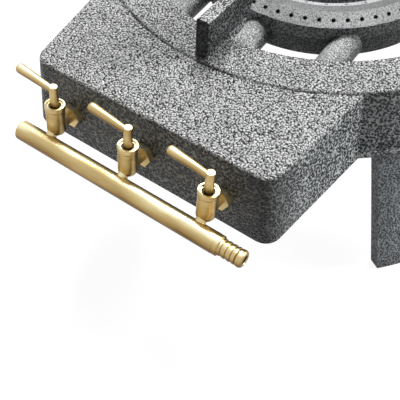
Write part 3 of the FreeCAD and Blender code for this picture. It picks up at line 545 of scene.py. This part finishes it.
def latheAlong(name, start, along, profile, facets, finish):
    # a turned piece: profile pairs are (distance along the axis, radius), in metres
    along = Vector(along).normalized()
    across = along.orthogonal().normalized()
    over = along.cross(across)
    turns = [2 * math.pi * step / facets for step in range(facets)]
    mesh = bpy.data.meshes.new(name)
    shape = bmesh.new()
    rings = []
    for distance, radius in profile:
        centre = Vector(start) + along * distance
        if radius == 0:
            rings.append([shape.verts.new(centre)])
            continue
        spokes = [across * math.cos(turn) + over * math.sin(turn) for turn in turns]
        rings.append([shape.verts.new(centre + spoke * radius) for spoke in spokes])
    for low, high in zip(rings, rings[1:]):
        for step in range(facets):
            corners = [low[step % len(low)], low[(step + 1) % len(low)],
                       high[(step + 1) % len(high)], high[step % len(high)]]
            shape.faces.new(list(dict.fromkeys(corners)))
    bmesh.ops.recalc_face_normals(shape, faces=shape.faces)
    shape.to_mesh(mesh)
    shape.free()
    mesh.polygons.foreach_set("use_smooth", [True] * len(mesh.polygons))
    mesh.set_sharp_from_angle(angle=math.radians(sharpAngle))
    mesh.materials.append(finish)
    piece = bpy.data.objects.new(name, mesh)
    bpy.context.scene.collection.objects.link(piece)
    return piece


leverShape = {
    "height": 0.0302,
    "rise": 7.5,
    "profile": [(0.0016, 0.0), (0.0016, 0.0022), (0.0020, 0.0025), (0.0290, 0.0036),
                (0.0304, 0.0034), (0.0316, 0.0026), (0.0323, 0.0014), (0.0325, 0.0)],
    "facets": 32,
}

for joint in frame["joints"]:
    tap = joint["name"].replace("_turn", "")
    upright = Vector(joint["axis"])
    rise = math.radians(leverShape["rise"])
    start = Vector(joint["pos_m"]) + upright * leverShape["height"]
    along = Vector((-math.cos(rise), 0.0, 0.0)) + upright * math.sin(rise)
    lever = latheAlong(tap + "_lever_turned", start, along, leverShape["profile"],
                       leverShape["facets"], finishes["brass"])
    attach(lever, tap + "_key")
    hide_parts(tap + "_lever")
print("levers turned")

barbShape = {
    "start": 0.079,
    "profile": [(-0.002, 0.0), (-0.002, 0.0069), (0.0034, 0.0070), (0.0043, 0.0059),
                (0.0056, 0.0059), (0.0060, 0.0053), (0.0081, 0.0059), (0.0093, 0.0059),
                (0.0097, 0.0053), (0.0118, 0.0059), (0.0130, 0.0059), (0.0134, 0.0053),
                (0.0152, 0.0059), (0.0162, 0.0059), (0.0166, 0.0053), (0.0176, 0.0059),
                (0.0197, 0.0060), (0.0206, 0.0057), (0.0212, 0.0051), (0.0215, 0.0044),
                (0.0215, 0.0033), (0.0211, 0.0030), (0.0040, 0.0030), (0.0040, 0.0)],
    "facets": 64,
}
barbLow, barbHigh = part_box("hose_barb")
barbMiddle = (barbLow + barbHigh) / 2
barb = latheAlong("hose_barb_turned", (barbShape["start"], barbMiddle.y, barbMiddle.z), (1, 0, 0),
                  barbShape["profile"], barbShape["facets"], finishes["brass"])
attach(barb, "stand")
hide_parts("hose_barb")
print("hose barb turned")

studio = {
    "keyPlace": (-0.62, 1.08, 2.15),
    "keySize": 0.9,
    "keyPower": 71.0,
    "fillPlace": (1.6, 1.25, 0.9),
    "fillSize": 0.8,
    "fillPower": 42.0,
    "aim": (0.0, 0.0, 0.12),
    "ambient": 0.06,
    "floorSize": 8.0,
    "floorColour": (0.22, 0.22, 0.22, 1.0),
    "floorRoughness": 0.9,
    "floorGlow": 0.90,
}


def addSeenRays(tree):
    # 1 for rays from the camera, off a glossy face or through a clear one, and 0 for the rest
    rays = addNode(tree, "ShaderNodeLightPath").outputs
    seen = addMath(tree, "MAXIMUM", rays["Is Camera Ray"], rays["Is Glossy Ray"])
    return addMath(tree, "MAXIMUM", seen, rays["Is Transmission Ray"])


def makeFloor(settings):
    # a grey floor that takes the object's shadow, and glows white only for the rays that show it
    mesh = bpy.data.meshes.new("floor")
    half = settings["floorSize"] / 2
    corners = [(-half, -half, 0), (half, -half, 0), (half, half, 0), (-half, half, 0)]
    mesh.from_pydata(corners, [], [(0, 1, 2, 3)])
    floor = bpy.data.objects.new("floor", mesh)
    bpy.context.scene.collection.objects.link(floor)
    material, tree, shader = startMaterial("paleFloor")
    shader.inputs["Base Color"].default_value = settings["floorColour"]
    shader.inputs["Roughness"].default_value = settings["floorRoughness"]
    glow = addNode(tree, "ShaderNodeEmission")
    share = addMath(tree, "MULTIPLY", addSeenRays(tree), settings["floorGlow"])
    tree.links.new(share, glow.inputs["Strength"])
    both = addNode(tree, "ShaderNodeAddShader")
    tree.links.new(shader.outputs[0], both.inputs[0])
    tree.links.new(glow.outputs[0], both.inputs[1])
    tree.links.new(both.outputs[0], tree.nodes["Material Output"].inputs["Surface"])
    mesh.materials.append(material)


def addAreaLight(name, place, size, power, aim):
    light = bpy.data.lights.new(name, "AREA")
    light.size = size
    light.energy = power
    lamp = bpy.data.objects.new(name, light)
    lamp.location = place
    lamp.rotation_euler = (Vector(aim) - Vector(place)).to_track_quat("-Z", "Y").to_euler()
    bpy.context.scene.collection.objects.link(lamp)


def makeWorld(settings):
    world = bpy.data.worlds.new("studioWhite")
    world.use_nodes = True
    bpy.context.scene.world = world
    tree = world.node_tree
    background = tree.nodes["Background"]
    background.inputs["Color"].default_value = (1.0, 1.0, 1.0, 1.0)
    strength = addRange(tree, addSeenRays(tree), 0.0, 1.0, settings["ambient"])
    tree.links.new(strength, background.inputs["Strength"])


# the photograph's camera, from a fit of the ring, the ports and the hood's edges
cameraView = {
    "lens": 63.98,
    "sensor": 36.0,
    "place": (0.2145, -0.4131, 0.5253),
    "azimuth": 38.17,
    "elevation": 54.92,
    "roll": -3.25,
}


def makeCamera(view):
    azimuth = math.radians(view["azimuth"])
    elevation = math.radians(view["elevation"])
    right = Vector((math.cos(azimuth), math.sin(azimuth), 0.0))
    back = Vector((math.sin(azimuth) * math.cos(elevation),
                   -math.cos(azimuth) * math.cos(elevation), math.sin(elevation)))
    upright = Matrix((right, back.cross(right), back)).transposed()
    turn = upright @ Matrix.Rotation(math.radians(view["roll"]), 3, "Z")
    camera = bpy.data.cameras.new("photoCamera")
    camera.sensor_width = view["sensor"]
    camera.lens = view["lens"]
    holder = bpy.data.objects.new("photoCamera", camera)
    holder.matrix_world = Matrix.Translation(view["place"]) @ turn.to_4x4()
    bpy.context.scene.collection.objects.link(holder)
    bpy.context.scene.camera = holder


makeFloor(studio)
makeWorld(studio)
for lamp in ("key", "fill"):
    addAreaLight(lamp, studio[lamp + "Place"], studio[lamp + "Size"], studio[lamp + "Power"],
                 studio["aim"])
makeCamera(cameraView)
bpy.context.scene.view_settings.view_transform = "Standard"
print("studio and camera set")
